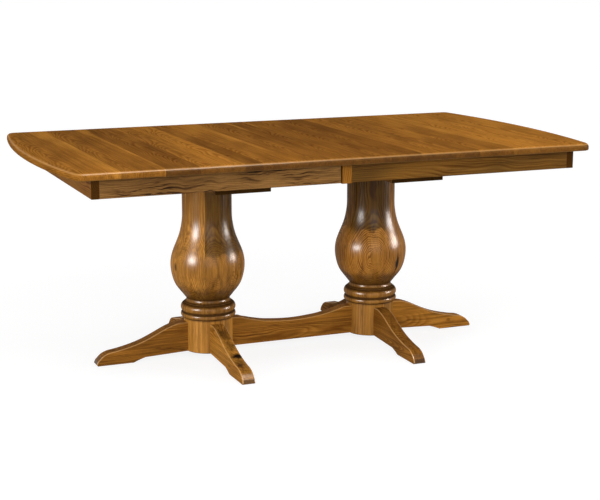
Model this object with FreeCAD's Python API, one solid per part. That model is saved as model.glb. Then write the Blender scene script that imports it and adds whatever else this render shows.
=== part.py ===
import FreeCAD, Part
import math
import os

Vec = FreeCAD.Vector

# Extension table on two turned pedestals, closed. X runs along the length, Y away from the front,
# Z up, and the origin is on the floor under the middle of the top. Lengths are in millimetres.

# Whole table
table_height = 762.0
fit_gap = 0.05                  # play round what is glued, driven or screwed in
slide_gap = 0.3                 # play between pieces that slide or swing past each other
overrun = 1.0                   # how far a cutting tool runs past the face that it cuts

# Table top, two halves that meet at the middle of the length
top_length = 1912.0             # over the bowed ends
top_width = 1066.8
top_thickness = 25.4
end_bow = 48.0                  # how far an end stands out at its middle
top_corner_radius = 32.0
upper_edge_radius = 14.0
lower_edge_radius = 5.0
split_gap = 0.4

# Aprons, corner blocks and the blocks at the split
end_overhang = 100.0            # of the top past the end aprons, at the middle of the bow
side_overhang = 30.1            # of the top past the long aprons
apron_height = 61.3
apron_thickness = 26.0
apron_ease = 1.5
left_apron_setback = 27.0       # from the split to the left aprons
right_apron_setback = 12.0      # from the split to the right aprons
split_block_gap = 6.4           # shadow gap between a block and the left apron
split_block_drop = 3.0          # how far a block hangs below the aprons
corner_block_leg = 75.0
corner_block_height = 42.0
corner_block_nose = 12.0

# Pedestals
pedestal_spacing = 636.0
hub_radius = 87.0
hub_bottom = 22.0
hub_collar = 13.0               # plain hub above the feet
hub_ease = 2.0
waist_radius = 76.6
bead_radius = 97.5
bead_groove_radius = 91.5
cove_lip_radius = 85.0
bulb_radius = 131.5
neck_radius = 87.5

# Heights on the turned part, as shares of its height from the hub's top to the bearer
lower_bead_shares = (0.019, 0.043)          # widest place, groove above
upper_bead_shares = (0.045, 0.074, 0.108)   # foot, widest place, top
cove_shares = (0.111, 0.124, 0.139)         # lip, hollow, waist
cove_hollow_share = 0.22                    # of the way out from the waist to the lip
bulb_level_share = 0.381                    # widest place of the bulb
neck_level_share = 0.760                    # where the straight neck begins
bulb_lower_shares = ((0.177, 0.28), (0.234, 0.67), (0.309, 0.92))
bulb_upper_shares = ((0.443, 0.92), (0.517, 0.63), (0.603, 0.25), (0.675, 0.07))

# Feet
foot_reach = 417.0              # from the column's axis to the toe
foot_thickness = 45.0
foot_top = 128.0
foot_ease = 4.0
foot_seat_gap = 0.5             # between the top of a foot and the end of its flat on the hub
foot_under_rise = 2.0           # underside of a foot above the hub's bottom

# Outline of a foot: shares of its length from the hub, and of its height above its pad
foot_top_shares = ((0.08, 1.0), (0.19, 0.93), (0.40, 0.68), (0.56, 0.517), (0.69, 0.428),
                   (0.81, 0.369), (0.865, 0.344), (0.905, 0.302), (0.945, 0.232), (0.975, 0.15))
foot_tip_share = 0.04
foot_toe_lean = 0.4             # outwards for each 1 down, at the tip
foot_toe_share = 0.988
foot_step_shares = ((0.47, 0.121), (0.535, 0.069))
foot_pad_share = 0.60

# Glides under the feet
glide_thickness = 2.5
glide_radius = 12.0
glide_nail_radius = 1.5
glide_nail_length = 14.0
glide_place_share = 0.80

# Stretcher
stretcher_bottom = 26.0
stretcher_waist_height = 71.2   # at the middle of its length
stretcher_ease = 4.0
# Upper edge: shares from the hub to the middle, and of the drop from the feet's tops to the waist
stretcher_shares = ((0.11, 0.0), (0.196, 0.17), (0.263, 0.295), (0.33, 0.43), (0.40, 0.55),
                    (0.53, 0.745), (0.67, 0.865), (0.82, 0.955))

# Dowels in the joints of feet and stretcher
dowel_radius = 6.0
dowel_length = 70.0
dowel_level_shares = (0.33, 0.70)           # of the feet's tops

# Bearers on the columns
bearer_width = 194.0
bearer_length = 750.0
bearer_thickness = 22.0
bearer_ease = 2.0

# Tie rod, washers and nuts in each column
rod_radius = 6.0
rod_hole_gap = 0.5
rod_recess_gap = 3.0            # round a washer
rod_lower_recess = 16.0
rod_upper_recess = 14.0
rod_end_setback = 1.5
washer_radius = 16.0
washer_thickness = 2.5
nut_across_flats = 19.0
nut_height = 10.0

# Screws
bearer_screw_radius = 3.0
bearer_screw_length = 70.0      # under the head
bearer_screw_circle = 62.0
wood_screw_radius = 2.5
wood_screw_head = 5.0           # radius
wood_screw_head_height = 4.0
rail_screw_length = 42.0
rail_screw_spread = 120.0
runner_screw_length = 45.0
runner_screw_bite = 16.0        # length of a runner's screw that is in the top
runner_screw_inset = 50.0       # from the ends of a runner's own half
runner_screw_count = 4
lock_screw_radius = 2.0
lock_screw_head = 4.0           # radius
lock_screw_bite = 14.0

# Table slides: a fixed centre rail between a left and a right runner
slide_height = 74.6             # from the bearers to the underside of the top
slide_offset = 190.0            # from the middle of the table to a centre rail
slide_travel = 305.0            # of each half, so two 12 in leaves fit in
rail_top_play = 2.0
rail_overhang = 15.0            # past the bearers
runner_width = 34.0
runner_end_gap = 50.0           # to the end apron
runner_lead = 10.0              # past the end of its rack
runner_relief = 1.5             # where a runner passes under the other half
guide_level = 21.0              # of the dovetail above the bearers
guide_mouth = 12.0
guide_floor = 18.0
guide_depth = 9.0
stop_thickness = 25.0
stop_height = 14.0
stop_gap = 0.5                  # left at full travel

# Pinion and racks
gear_drop = 22.6                # below the underside of the top
gear_module = 2.0
gear_teeth = 18
gear_backlash = 0.6
gear_play = 0.5                 # between the tips of teeth and the roots that they run in
pressure_angle = 20.0
pinion_width = 10.0
pinion_pocket_gap = 1.5
axle_radius = 4.0
axle_running_gap = 0.06
axle_root = 10.0                # length of an axle below its pinion
axle_setback = 1.0
rack_height = 12.0
rack_depth = 7.5                # from the pitch line to the back
rack_rail_gap = 1.0             # between the tips of a rack and the rail
rack_lead_teeth = 4
flank_steps = 4

# Alignment pins in the split
pin_radius = 5.0
pin_seat = 30.0
pin_reach = 20.0
pin_nose = 3.0
pin_hole_extra = 4.0
pin_row_shares = (0.16, 0.56, 0.94)         # of half the width

# Locks under the split
lock_inset = 60.0               # from the aprons to the locks
lock_plate_length = 70.0
lock_plate_width = 34.0
lock_plate_thickness = 2.5
lock_plate_setback = 6.0        # from the split
lock_pivot_setback = 45.0       # from the split
lock_pin_setback = 25.0         # from the split to a keeper's pin
lock_screw_inset = 8.0
lock_stud_radius = 4.0
lock_rivet_radius = 7.0
lock_rivet_height = 2.0
lock_pin_radius = 4.5
lock_lever_thickness = 4.0
lock_lever_width = 18.0
lock_handle_length = 42.0
lock_hook_length = 31.0
lock_hook_wall = 11.0
lock_hook_drop = 16.0
lock_play = 0.5
lock_slot_play = 0.7
lock_swing = 70.0               # degrees from open to latched

# Sizes that follow
half_length = top_length / 2
half_width = top_width / 2
apron_length = top_length - 2 * end_overhang
apron_width = top_width - 2 * side_overhang
top_underside = table_height - top_thickness
apron_bottom = top_underside - apron_height
bearer_top = top_underside - slide_height
column_top = bearer_top - bearer_thickness
hub_top = foot_top + hub_collar
pedestal_x = pedestal_spacing / 2
hub_flat = math.sqrt(hub_radius ** 2 - (foot_thickness / 2) ** 2)
bearer_inner = pedestal_x - bearer_width / 2
rod_hole_radius = rod_radius + rod_hole_gap
rod_recess_radius = washer_radius + rod_recess_gap
tooth_pitch = math.pi * gear_module
pitch_radius = gear_module * gear_teeth / 2
rail_half = pitch_radius - gear_module - rack_rail_gap
rail_top = top_underside - rail_top_play
runner_inside = rail_half + slide_gap
runner_outside = runner_inside + runner_width
gear_z = top_underside - gear_drop
tooth_height = gear_module + gear_play
tooth_thickness = (tooth_pitch - gear_backlash) / 2
rack_front_teeth = math.ceil(slide_travel / tooth_pitch) + rack_lead_teeth
rack_start = -(rack_lead_teeth + 0.5) * tooth_pitch
rack_end = (rack_front_teeth + 0.5) * tooth_pitch
runner_start = -(apron_length / 2 - apron_thickness - runner_end_gap)
runner_end = rack_end + runner_lead
lock_y = apron_width / 2 - apron_thickness - lock_inset

# Shank radius, head radius, head height and length under the head of each kind of screw
bearer_screw = (bearer_screw_radius, 2 * bearer_screw_radius, wood_screw_head_height, bearer_screw_length)
rail_screw = (wood_screw_radius, wood_screw_head, wood_screw_head_height, rail_screw_length)
runner_screw = (wood_screw_radius, wood_screw_head, wood_screw_head_height, runner_screw_length)
lock_screw = (lock_screw_radius, lock_screw_head, lock_plate_thickness, lock_screw_bite)
bearer_screw_bite = bearer_screw_length + wood_screw_head_height - bearer_thickness
rail_screw_bite = rail_screw_length + wood_screw_head_height - bearer_thickness


# Helpers

def block(low, high):
    """A box between two corners."""
    return Part.makeBox(high[0] - low[0], high[1] - low[1], high[2] - low[2], Vec(*low))


def rod(radius, start, end):
    """A round bar from one point to another."""
    path = Vec(*end) - Vec(*start)
    return Part.makeCylinder(radius, path.Length, Vec(*start), path)


def prism(points, depth):
    """A closed outline of corners, pushed along a vector."""
    corners = [Vec(*point) for point in points]
    return Part.Face(Part.makePolygon(corners + corners[:1])).extrude(Vec(*depth))


def spun(edges):
    """A closed outline in the XZ plane, turned round the Z axis."""
    face = Part.Face(Part.Wire(edges))
    return face.revolve(Vec(0, 0, 0), Vec(0, 0, 1), 360)


def line(start, end):
    return Part.LineSegment(Vec(*start), Vec(*end)).toShape()


def arc(start, middle, end):
    return Part.Arc(Vec(*start), Vec(*middle), Vec(*end)).toShape()


def curve(points, start_way, end_way):
    """A smooth curve through points, leaving and arriving in given directions."""
    spline = Part.BSplineCurve()
    spline.interpolate(Points=[Vec(*point) for point in points],
                       InitialTangent=Vec(*start_way), FinalTangent=Vec(*end_way))
    return spline.toShape()


def moved(shape, x, y, z, turn=0):
    """A copy, turned about Z by degrees and then moved."""
    copy = shape.copy()
    copy.rotate(Vec(0, 0, 0), Vec(0, 0, 1), turn)
    copy.translate(Vec(x, y, z))
    return copy


def half_turn(shape):
    """The same piece for the other half of the table."""
    return moved(shape, 0, 0, 0, 180)


def mirrored_front(shape):
    """The same piece for the other long side of the table."""
    return shape.mirror(Vec(0, 0, 0), Vec(0, 1, 0))


def between(low, high, share):
    return low + (high - low) * share


def at_level(edge, z):
    return all(abs(vertex.Z - z) < fit_gap for vertex in edge.Vertexes)


def upright(edge):
    first, last = edge.Vertexes[0].Point, edge.Vertexes[-1].Point
    return abs(first.x - last.x) < fit_gap and abs(first.y - last.y) < fit_gap


def screw(sizes):
    """A screw with its head's outer face at the origin and its shank up along Z."""
    shank, head, height, length = sizes
    return rod(head, (0, 0, 0), (0, 0, height)).fuse(rod(shank, (0, 0, height), (0, 0, height + length)))


def screw_hole(sizes, sink):
    """The hole for a screw whose head lies that deep below the face at the origin."""
    shank, head, height, length = sizes
    seat = sink + height
    wide = rod(head + fit_gap, (0, 0, -overrun), (0, 0, seat))
    return wide.fuse(rod(shank + fit_gap, (0, 0, 0), (0, 0, seat + length + fit_gap)))


def pilot_hole(radius, bite):
    """The hole for a screw's end, up along Z from the face at the origin."""
    return rod(radius + fit_gap, (0, 0, -overrun), (0, 0, bite + fit_gap))


def cut_all(shape, tools):
    return shape.cut(Part.makeCompound(tools))


def save(name, *solids):
    shape = solids[0] if len(solids) == 1 else Part.makeCompound(list(solids))
    shape.exportStep(os.path.join("parts", name + ".step"))


# Table top

def runner_screw_places(count):
    """Places of a left runner's screws along X."""
    first = runner_start + runner_screw_inset
    last = -runner_screw_inset
    return [between(first, last, step / (count - 1)) for step in range(count)]


def runner_screw_spots():
    """Places of all screws of the left runners."""
    middle = (runner_inside + runner_outside) / 2
    return [(x, side * slide_offset + middle)
            for side in (-1, 1) for x in runner_screw_places(runner_screw_count)]


def lock_screw_spots(near):
    """Places of the screws in one lock plate or keeper, whose edge lies that far from the split."""
    ends = (near + lock_screw_inset, near + lock_plate_length - lock_screw_inset)
    corner = lock_plate_width / 2 - lock_screw_inset
    return [(ends[0], corner), (ends[0], -corner), (ends[1], corner), (ends[1], -corner)]


def pin_places():
    return [side * share * half_width for side in (-1, 1) for share in pin_row_shares]


def top_panel():
    """The left half of the top, with the holes for its screws."""
    slab = block((-half_length, -half_width, top_underside), (-split_gap / 2, half_width, table_height))
    bow_radius = (half_width ** 2 + end_bow ** 2) / (2 * end_bow)
    disc = Part.makeCylinder(bow_radius, top_thickness,
                             Vec(bow_radius - half_length, 0, top_underside))
    panel = slab.common(disc).removeSplitter()
    corners = [edge for edge in panel.Edges if upright(edge) and edge.Vertexes[0].X < -half_length / 2]
    panel = panel.makeFillet(top_corner_radius, corners)
    for level, radius in ((table_height, upper_edge_radius), (top_underside, lower_edge_radius)):
        rim = [edge for edge in panel.Edges if at_level(edge, level) and not on_split(edge)]
        panel = panel.makeFillet(radius, rim)
    pilot = pilot_hole(wood_screw_radius, runner_screw_bite)
    tools = [moved(pilot, x, y, top_underside) for x, y in runner_screw_spots()]
    pilot = pilot_hole(lock_screw_radius, lock_screw_bite)
    for side in (-1, 1):
        for x, y in lock_screw_spots(lock_plate_setback):
            tools.append(moved(pilot, -x, side * lock_y + y, top_underside))
    return cut_all(panel, tools)


def on_split(edge):
    return all(vertex.X > -split_gap / 2 - fit_gap for vertex in edge.Vertexes)


def pin_hole(radius, depth, y):
    level = table_height - top_thickness / 2
    return rod(radius, (-split_gap / 2 - depth, y, level), (overrun, y, level))


def left_top_panel():
    holes = [pin_hole(pin_radius + slide_gap, pin_reach + pin_hole_extra, y) for y in pin_places()]
    return cut_all(top_panel(), holes)


def right_top_panel():
    holes = [pin_hole(pin_radius + fit_gap, pin_seat + fit_gap, y) for y in pin_places()]
    return half_turn(cut_all(top_panel(), holes))


def alignment_pin(y):
    """A dowel glued into the right half, whose nose enters the left half."""
    level = table_height - top_thickness / 2
    tip = split_gap / 2 - pin_reach
    pin = rod(pin_radius, (tip, y, level), (split_gap / 2 + pin_seat, y, level))
    nose = [edge for edge in pin.Edges if edge.BoundBox.XMax < 0]
    return pin.makeFillet(pin_nose, nose)


# Aprons

def eased_board(low, high):
    """A board whose lower long edges are eased."""
    board = block(low, high)
    along_x = high[0] - low[0] > high[1] - low[1]
    edges = []
    for edge in board.Edges:
        way = edge.Vertexes[1].Point - edge.Vertexes[0].Point
        if at_level(edge, low[2]) and abs(way.x if along_x else way.y) > fit_gap:
            edges.append(edge)
    return board.makeFillet(apron_ease, edges)


def long_apron(setback):
    """The front apron of the left half, ending that far from the split."""
    outside = -apron_width / 2
    start = -apron_length / 2 + apron_thickness
    return eased_board((start, outside, apron_bottom),
                       (-setback, outside + apron_thickness, top_underside))


def end_apron():
    outside = -apron_length / 2
    return eased_board((outside, -apron_width / 2, apron_bottom),
                       (outside + apron_thickness, apron_width / 2, top_underside))


def corner_block():
    """The block in the left half's front corner, against both aprons and the top."""
    x = -apron_length / 2 + apron_thickness
    y = -apron_width / 2 + apron_thickness
    z = top_underside - corner_block_height
    outline = [(x, y, z), (x + corner_block_leg, y, z), (x + corner_block_leg, y + corner_block_nose, z),
               (x + corner_block_nose, y + corner_block_leg, z), (x, y + corner_block_leg, z)]
    return prism(outline, (0, 0, corner_block_height))


def split_block():
    """The block on the end of the right half's front apron, which closes the gap at the split."""
    outside = -apron_width / 2
    return eased_board((split_block_gap - left_apron_setback, outside, apron_bottom - split_block_drop),
                       (right_apron_setback, outside + apron_thickness, top_underside - slide_gap))


# Pedestals

def level_at(share):
    return between(hub_top, column_top, share)


def column_outline():
    """The turned outline of a column, from its axis at the bottom to its axis at the top."""
    low_wide, low_groove = (level_at(share) for share in lower_bead_shares)
    up_foot, up_wide, up_top = (level_at(share) for share in upper_bead_shares)
    lip, hollow, waist = (level_at(share) for share in cove_shares)
    hollow_radius = between(waist_radius, cove_lip_radius, cove_hollow_share)
    bulb_points = [(waist_radius, 0, waist)]
    bulb_points += [(between(waist_radius, bulb_radius, out), 0, level_at(up))
                    for up, out in bulb_lower_shares]
    bulb_points += [(bulb_radius, 0, level_at(bulb_level_share))]
    bulb_points += [(between(neck_radius, bulb_radius, out), 0, level_at(up))
                    for up, out in bulb_upper_shares]
    neck = level_at(neck_level_share)
    bulb_points += [(neck_radius, 0, neck)]
    groove = bead_groove_radius
    return [
        line((0, 0, hub_bottom), (hub_radius - hub_ease, 0, hub_bottom)),
        line((hub_radius - hub_ease, 0, hub_bottom), (hub_radius, 0, hub_bottom + hub_ease)),
        line((hub_radius, 0, hub_bottom + hub_ease), (hub_radius, 0, hub_top)),
        arc((hub_radius, 0, hub_top), (bead_radius, 0, low_wide), (groove, 0, low_groove)),
        line((groove, 0, low_groove), (groove, 0, up_foot)),
        arc((groove, 0, up_foot), (bead_radius, 0, up_wide), (cove_lip_radius, 0, up_top)),
        line((cove_lip_radius, 0, up_top), (cove_lip_radius, 0, lip)),
        arc((cove_lip_radius, 0, lip), (hollow_radius, 0, hollow), (waist_radius, 0, waist)),
        curve(bulb_points, (1, 0, 1), (0, 0, 1)),
        line((neck_radius, 0, neck), (neck_radius, 0, column_top)),
        line((neck_radius, 0, column_top), (0, 0, column_top)),
        line((0, 0, column_top), (0, 0, hub_bottom)),
    ]


def dowel_levels():
    return [share * foot_top for share in dowel_level_shares]


def dowel_run(radius, z, extra):
    """A dowel, or its hole, half in the hub and half in what joins it along X."""
    reach = dowel_length / 2 + extra
    return rod(radius, (hub_flat - reach, 0, z), (hub_flat + reach, 0, z))


def joint_turns():
    """Directions of the four joints round a hub: two feet, a foot or the stretcher each way."""
    return (0, 90, 180, 270)


def bearer_screw_turns():
    return (45, 135, 225, 315)


def column():
    """A column on the Z axis, with a flat and dowel holes for each joint on its hub."""
    body = spun(column_outline())
    tools = [rod(rod_hole_radius, (0, 0, hub_bottom - overrun), (0, 0, column_top + overrun)),
             rod(rod_recess_radius, (0, 0, hub_bottom - overrun), (0, 0, hub_bottom + rod_lower_recess))]
    flat = block((hub_flat, -foot_thickness / 2, hub_bottom - overrun),
                 (hub_radius + overrun, foot_thickness / 2, foot_top + foot_seat_gap))
    for turn in joint_turns():
        tools.append(moved(flat, 0, 0, 0, turn))
        for z in dowel_levels():
            tools.append(moved(dowel_run(dowel_radius + fit_gap, z, fit_gap), 0, 0, 0, turn))
    pilot = pilot_hole(bearer_screw_radius, bearer_screw_bite)
    tools += [moved(hole, 0, 0, column_top) for hole in bearer_screw_set(pilot)]
    return cut_all(body, tools)


def foot():
    """A foot that runs out along X from a column on the Z axis."""
    pad = glide_thickness
    inside = hub_flat

    def place(along, up):
        return (between(inside, foot_reach, along), -foot_thickness / 2, between(pad, foot_top, up))

    heel = (inside, -foot_thickness / 2, hub_bottom + foot_under_rise)
    top = (inside, -foot_thickness / 2, foot_top)
    tip = place(1, foot_tip_share)
    toe = place(foot_toe_share, 0)
    step_start, step_middle = (place(*share) for share in foot_step_shares)
    pad_start = place(foot_pad_share, 0)
    upper = [top] + [place(*share) for share in foot_top_shares] + [tip]
    outline = Part.Wire([
        line(heel, step_start), arc(step_start, step_middle, pad_start), line(pad_start, toe),
        line(toe, tip), curve(upper, (1, 0, 0), (foot_toe_lean, 0, -1)).reversed(), line(top, heel)])
    body = Part.Face(outline).extrude(Vec(0, foot_thickness, 0))
    edges = [edge for edge in body.Edges if upper_foot_edge(edge)]
    body = body.makeFillet(foot_ease, edges)
    tools = [dowel_run(dowel_radius + fit_gap, z, fit_gap) for z in dowel_levels()]
    x = glide_x()
    tools.append(rod(glide_nail_radius + fit_gap, (x, 0, pad - overrun),
                     (x, 0, pad + glide_nail_length + fit_gap)))
    return cut_all(body, tools)


def upper_foot_edge(edge):
    """Whether an edge is one of the two long edges along a foot's upper curve."""
    ends = sorted((vertex.Point for vertex in edge.Vertexes), key=lambda point: point.x)
    level = abs(ends[0].z - foot_top) < fit_gap
    reach = abs(ends[-1].x - foot_reach) < fit_gap
    return level and reach and len(ends) == 2


def glide_x():
    return between(hub_flat, foot_reach, glide_place_share)


def glide():
    """A glide nailed under a foot that runs out along X."""
    x = glide_x()
    disc = rod(glide_radius, (x, 0, 0), (x, 0, glide_thickness))
    top = glide_thickness
    return disc.fuse(rod(glide_nail_radius, (x, 0, top), (x, 0, top + glide_nail_length)))


def stretcher():
    """The stretcher between the two hubs, with its dipped upper edge."""
    end = pedestal_x - hub_flat
    waist = stretcher_bottom + stretcher_waist_height
    side = -foot_thickness / 2

    def place(along, down, way):
        return (way * between(end, 0, along), side, between(foot_top, waist, down))

    dip = [place(*share, -1) for share in stretcher_shares] + [(0, side, waist)]
    dip += [place(*share, 1) for share in reversed(stretcher_shares)]
    corners = [(-end, side, foot_top), (end, side, foot_top),
               (end, side, stretcher_bottom), (-end, side, stretcher_bottom)]
    outline = Part.Wire([
        line(corners[0], dip[0]), curve(dip, (1, 0, 0), (1, 0, 0)), line(dip[-1], corners[1]),
        line(corners[1], corners[2]), line(corners[2], corners[3]), line(corners[3], corners[0])])
    body = Part.Face(outline).extrude(Vec(0, foot_thickness, 0))
    body = body.makeFillet(stretcher_ease, [edge for edge in body.Edges if upper_stretcher_edge(edge)])
    tools = []
    for x, turn in ((-pedestal_x, 0), (pedestal_x, 180)):
        tools += [moved(dowel_run(dowel_radius + fit_gap, z, fit_gap), x, 0, 0, turn)
                  for z in dowel_levels()]
    return cut_all(body, tools)


def upper_stretcher_edge(edge):
    """Whether an edge runs along the stretcher's upper side."""
    ends = [vertex.Point for vertex in edge.Vertexes]
    return at_level(edge, foot_top) and abs(ends[0].x - ends[-1].x) > fit_gap


def foot_places():
    """Name, column place and direction of each foot."""
    return [("left_side_foot", -pedestal_x, 180), ("left_front_foot", -pedestal_x, 270),
            ("left_back_foot", -pedestal_x, 90), ("right_side_foot", pedestal_x, 0),
            ("right_front_foot", pedestal_x, 270), ("right_back_foot", pedestal_x, 90)]


def joint_dowels():
    dowels = []
    for x in (-pedestal_x, pedestal_x):
        for turn in joint_turns():
            dowels += [moved(dowel_run(dowel_radius, z, 0), x, 0, 0, turn) for z in dowel_levels()]
    return dowels


# Bearers, tie rods and their screws

def rail_screw_spots(pedestal):
    return [(pedestal + way * rail_screw_spread / 2, side * slide_offset)
            for way in (-1, 1) for side in (-1, 1)]


def bearer(x):
    """The bearer on the column at x."""
    half = bearer_length / 2
    board = block((x - bearer_width / 2, -half, column_top), (x + bearer_width / 2, half, bearer_top))
    lower = [edge for edge in board.Edges if at_level(edge, column_top)]
    board = board.makeFillet(bearer_ease, lower)
    tools = [rod(rod_hole_radius, (x, 0, column_top - overrun), (x, 0, bearer_top + overrun)),
             rod(rod_recess_radius, (x, 0, bearer_top - rod_upper_recess), (x, 0, bearer_top + overrun))]
    tools += [moved(screw_hole(rail_screw, 0), px, py, column_top) for px, py in rail_screw_spots(x)]
    tools += [moved(hole, x, 0, bearer_top) for hole in bearer_screw_set(screw_hole(bearer_screw, 0))]
    return cut_all(board, tools)


def bearer_screw_set(shape):
    """Copies that point down, round the middle of a bearer."""
    down = shape.copy()
    down.rotate(Vec(0, 0, 0), Vec(1, 0, 0), 180)
    down.translate(Vec(bearer_screw_circle, 0, 0))
    return [moved(down, 0, 0, 0, turn) for turn in bearer_screw_turns()]


def tie_rod(x):
    return rod(rod_radius, (x, 0, hub_bottom + rod_end_setback), (x, 0, bearer_top - rod_end_setback))


def washers(x):
    lower = hub_bottom + rod_lower_recess - washer_thickness
    upper = bearer_top - rod_upper_recess
    ring = rod(washer_radius, (0, 0, 0), (0, 0, washer_thickness))
    ring = ring.cut(rod(rod_hole_radius, (0, 0, -overrun), (0, 0, washer_thickness + overrun)))
    return [moved(ring, x, 0, z) for z in (lower, upper)]


def nuts(x):
    lower = hub_bottom + rod_lower_recess - washer_thickness - nut_height
    upper = bearer_top - rod_upper_recess + washer_thickness
    point = nut_across_flats / math.sqrt(3)
    turns = [math.radians(60 * side) for side in range(6)]
    outline = [(point * math.cos(turn), point * math.sin(turn), 0) for turn in turns]
    hexagon = prism(outline, (0, 0, nut_height))
    hole = rod(rod_radius + fit_gap, (0, 0, -overrun), (0, 0, nut_height + overrun))
    return [moved(hexagon.cut(hole), x, 0, z) for z in (lower, upper)]


# Table slides, built round a centre rail on the X axis, with the left runner on its +Y side

def guide_outline(gap):
    """Corners of the dovetail on the rail's +Y side, with that much play taken off."""
    face = rail_half
    level = bearer_top + guide_level
    mouth, floor = guide_mouth / 2 - gap, guide_floor / 2 - gap
    inside = face - guide_depth + gap
    outside = face + gap
    return [(outside, level - mouth), (outside, level + mouth),
            (inside, level + floor), (inside, level - floor)]


def dovetail(gap, start, end):
    """The dovetail of a rail's groove, or with play that of a runner's tongue."""
    return prism([(start, y, z) for y, z in guide_outline(gap)], (end - start, 0, 0))


def centre_rail():
    end = pedestal_x + bearer_width / 2 + rail_overhang
    rail = block((-end, -rail_half, bearer_top), (end, rail_half, rail_top))
    groove = dovetail(0, -end - overrun, end + overrun)
    pocket = pitch_radius + gear_module + pinion_pocket_gap
    half_pinion = pinion_width / 2 + slide_gap
    tools = [groove, half_turn(groove),
             rod(pocket, (0, 0, gear_z - half_pinion), (0, 0, gear_z + half_pinion)),
             rod(axle_radius + fit_gap, (0, 0, axle_bottom() - fit_gap), (0, 0, rail_top + overrun))]
    pilot = pilot_hole(wood_screw_radius, rail_screw_bite)
    for pedestal in (-pedestal_x, pedestal_x):
        for way in (-1, 1):
            tools.append(moved(pilot, pedestal + way * rail_screw_spread / 2, 0, bearer_top))
    return cut_all(rail, tools)


def axle_bottom():
    return gear_z - pinion_width / 2 - slide_gap - axle_root


def axle():
    return rod(axle_radius, (0, 0, axle_bottom()), (0, 0, rail_top - axle_setback))


def runner_screw_sink():
    """Depth of a runner's screw head in the runner."""
    in_runner = runner_screw_length - runner_screw_bite
    return slide_height - slide_gap - in_runner - wood_screw_head_height


def runner():
    """The left runner, whose tongue runs in the rail and whose inner side holds the rack."""
    bottom = bearer_top + slide_gap
    body = block((runner_start, runner_inside, bottom), (runner_end, runner_outside, top_underside))
    body = body.fuse(dovetail(slide_gap, runner_start, runner_end)).removeSplitter()
    half = rack_height / 2
    tools = [block((rack_start, runner_inside - overrun, gear_z - half),
                   (rack_end, pitch_radius + rack_depth, gear_z + half)),
             block((-runner_relief, 0, top_underside - runner_relief),
                   (runner_end + overrun, runner_outside + overrun, top_underside + overrun))]
    middle = (runner_inside + runner_outside) / 2
    hole = screw_hole(runner_screw, runner_screw_sink())
    tools += [moved(hole, x, middle, bottom) for x in runner_screw_places(runner_screw_count)]
    return cut_all(body, tools)


def runner_screws():
    """The screws of both left runners."""
    z = bearer_top + slide_gap + runner_screw_sink()
    return [moved(screw(runner_screw), x, y, z) for x, y in runner_screw_spots()]


def slide_stop():
    """The stop under the left runner, which meets the left bearer at full travel."""
    face = slide_travel - bearer_inner + stop_gap
    top = bearer_top + slide_gap
    return block((face, runner_inside, top - stop_height), (face + stop_thickness, runner_outside, top))


def rack():
    """The left runner's rack, with a tooth on the pinion's axis."""
    slope = math.tan(math.radians(pressure_angle))
    tip = tooth_thickness / 2 - gear_module * slope
    root = tooth_thickness / 2 + tooth_height * slope
    tip_y, root_y = pitch_radius - gear_module, pitch_radius + tooth_height
    z = gear_z - rack_height / 2
    outline = [(rack_start, root_y, z)]
    for tooth in range(-rack_lead_teeth, rack_front_teeth + 1):
        x = tooth * tooth_pitch
        outline += [(x - root, root_y, z), (x - tip, tip_y, z), (x + tip, tip_y, z), (x + root, root_y, z)]
    back = pitch_radius + rack_depth
    outline += [(rack_end, root_y, z), (rack_end, back, z), (rack_start, back, z)]
    return prism(outline, (0, 0, rack_height))


def involute(angle):
    return math.tan(angle) - angle


def pinion():
    """The pinion, with a gap between teeth facing each rack."""
    pressure = math.radians(pressure_angle)
    base = pitch_radius * math.cos(pressure)
    tip, root = pitch_radius + gear_module, pitch_radius - tooth_height
    half_tooth = tooth_thickness / (2 * pitch_radius)

    def half_angle(radius):
        return half_tooth + involute(pressure) - involute(math.acos(base / radius))

    flank = [(root, half_angle(base))]
    flank += [(radius, half_angle(radius))
              for radius in (between(base, tip, step / flank_steps) for step in range(flank_steps + 1))]
    outline = []
    z = gear_z - pinion_width / 2
    for tooth in range(gear_teeth):
        middle = math.pi / 2 + (tooth + 0.5) * 2 * math.pi / gear_teeth
        spots = [(radius, middle - angle) for radius, angle in flank]
        spots += [(radius, middle + angle) for radius, angle in reversed(flank)]
        outline += [(radius * math.cos(turn), radius * math.sin(turn), z) for radius, turn in spots]
    wheel = prism(outline, (0, 0, pinion_width))
    return wheel.cut(rod(axle_radius + axle_running_gap, (0, 0, z - overrun),
                         (0, 0, z + pinion_width + overrun)))


# Locks, built for the front of the table with the split at x = 0

def lock_stud_bottom():
    return top_underside - lock_plate_thickness - lock_lever_thickness - 2 * lock_play - lock_rivet_height


def lock_plate_blank(near, way):
    """A plate against the top, from that far from the split, with its screw holes."""
    low, high = sorted((way * near, way * (near + lock_plate_length)))
    half = lock_plate_width / 2
    z = top_underside - lock_plate_thickness
    plate = block((low, -half, z), (high, half, top_underside))
    hole = rod(lock_screw_head + fit_gap, (0, 0, -overrun), (0, 0, lock_plate_thickness + overrun))
    return cut_all(plate, [moved(hole, way * x, y, z) for x, y in lock_screw_spots(near)])


def lock_plate():
    """The left half's plate, with the riveted stud that the lever turns on."""
    plate = lock_plate_blank(lock_plate_setback, -1)
    x = -lock_pivot_setback
    stud = rod(lock_stud_radius, (x, 0, lock_stud_bottom()), (x, 0, top_underside))
    rivet = rod(lock_rivet_radius, (x, 0, lock_stud_bottom()),
                (x, 0, lock_stud_bottom() + lock_rivet_height))
    return moved(plate.fuse([stud, rivet]).removeSplitter(), 0, -lock_y, 0)


def lock_keeper():
    """The right half's plate, with the pin that the lever hooks."""
    plate = lock_plate_blank(lock_plate_setback, 1)
    x = lock_pin_setback
    pin = rod(lock_pin_radius, (x, 0, lock_stud_bottom()), (x, 0, top_underside))
    return moved(plate.fuse(pin).removeSplitter(), 0, -lock_y, 0)


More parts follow.
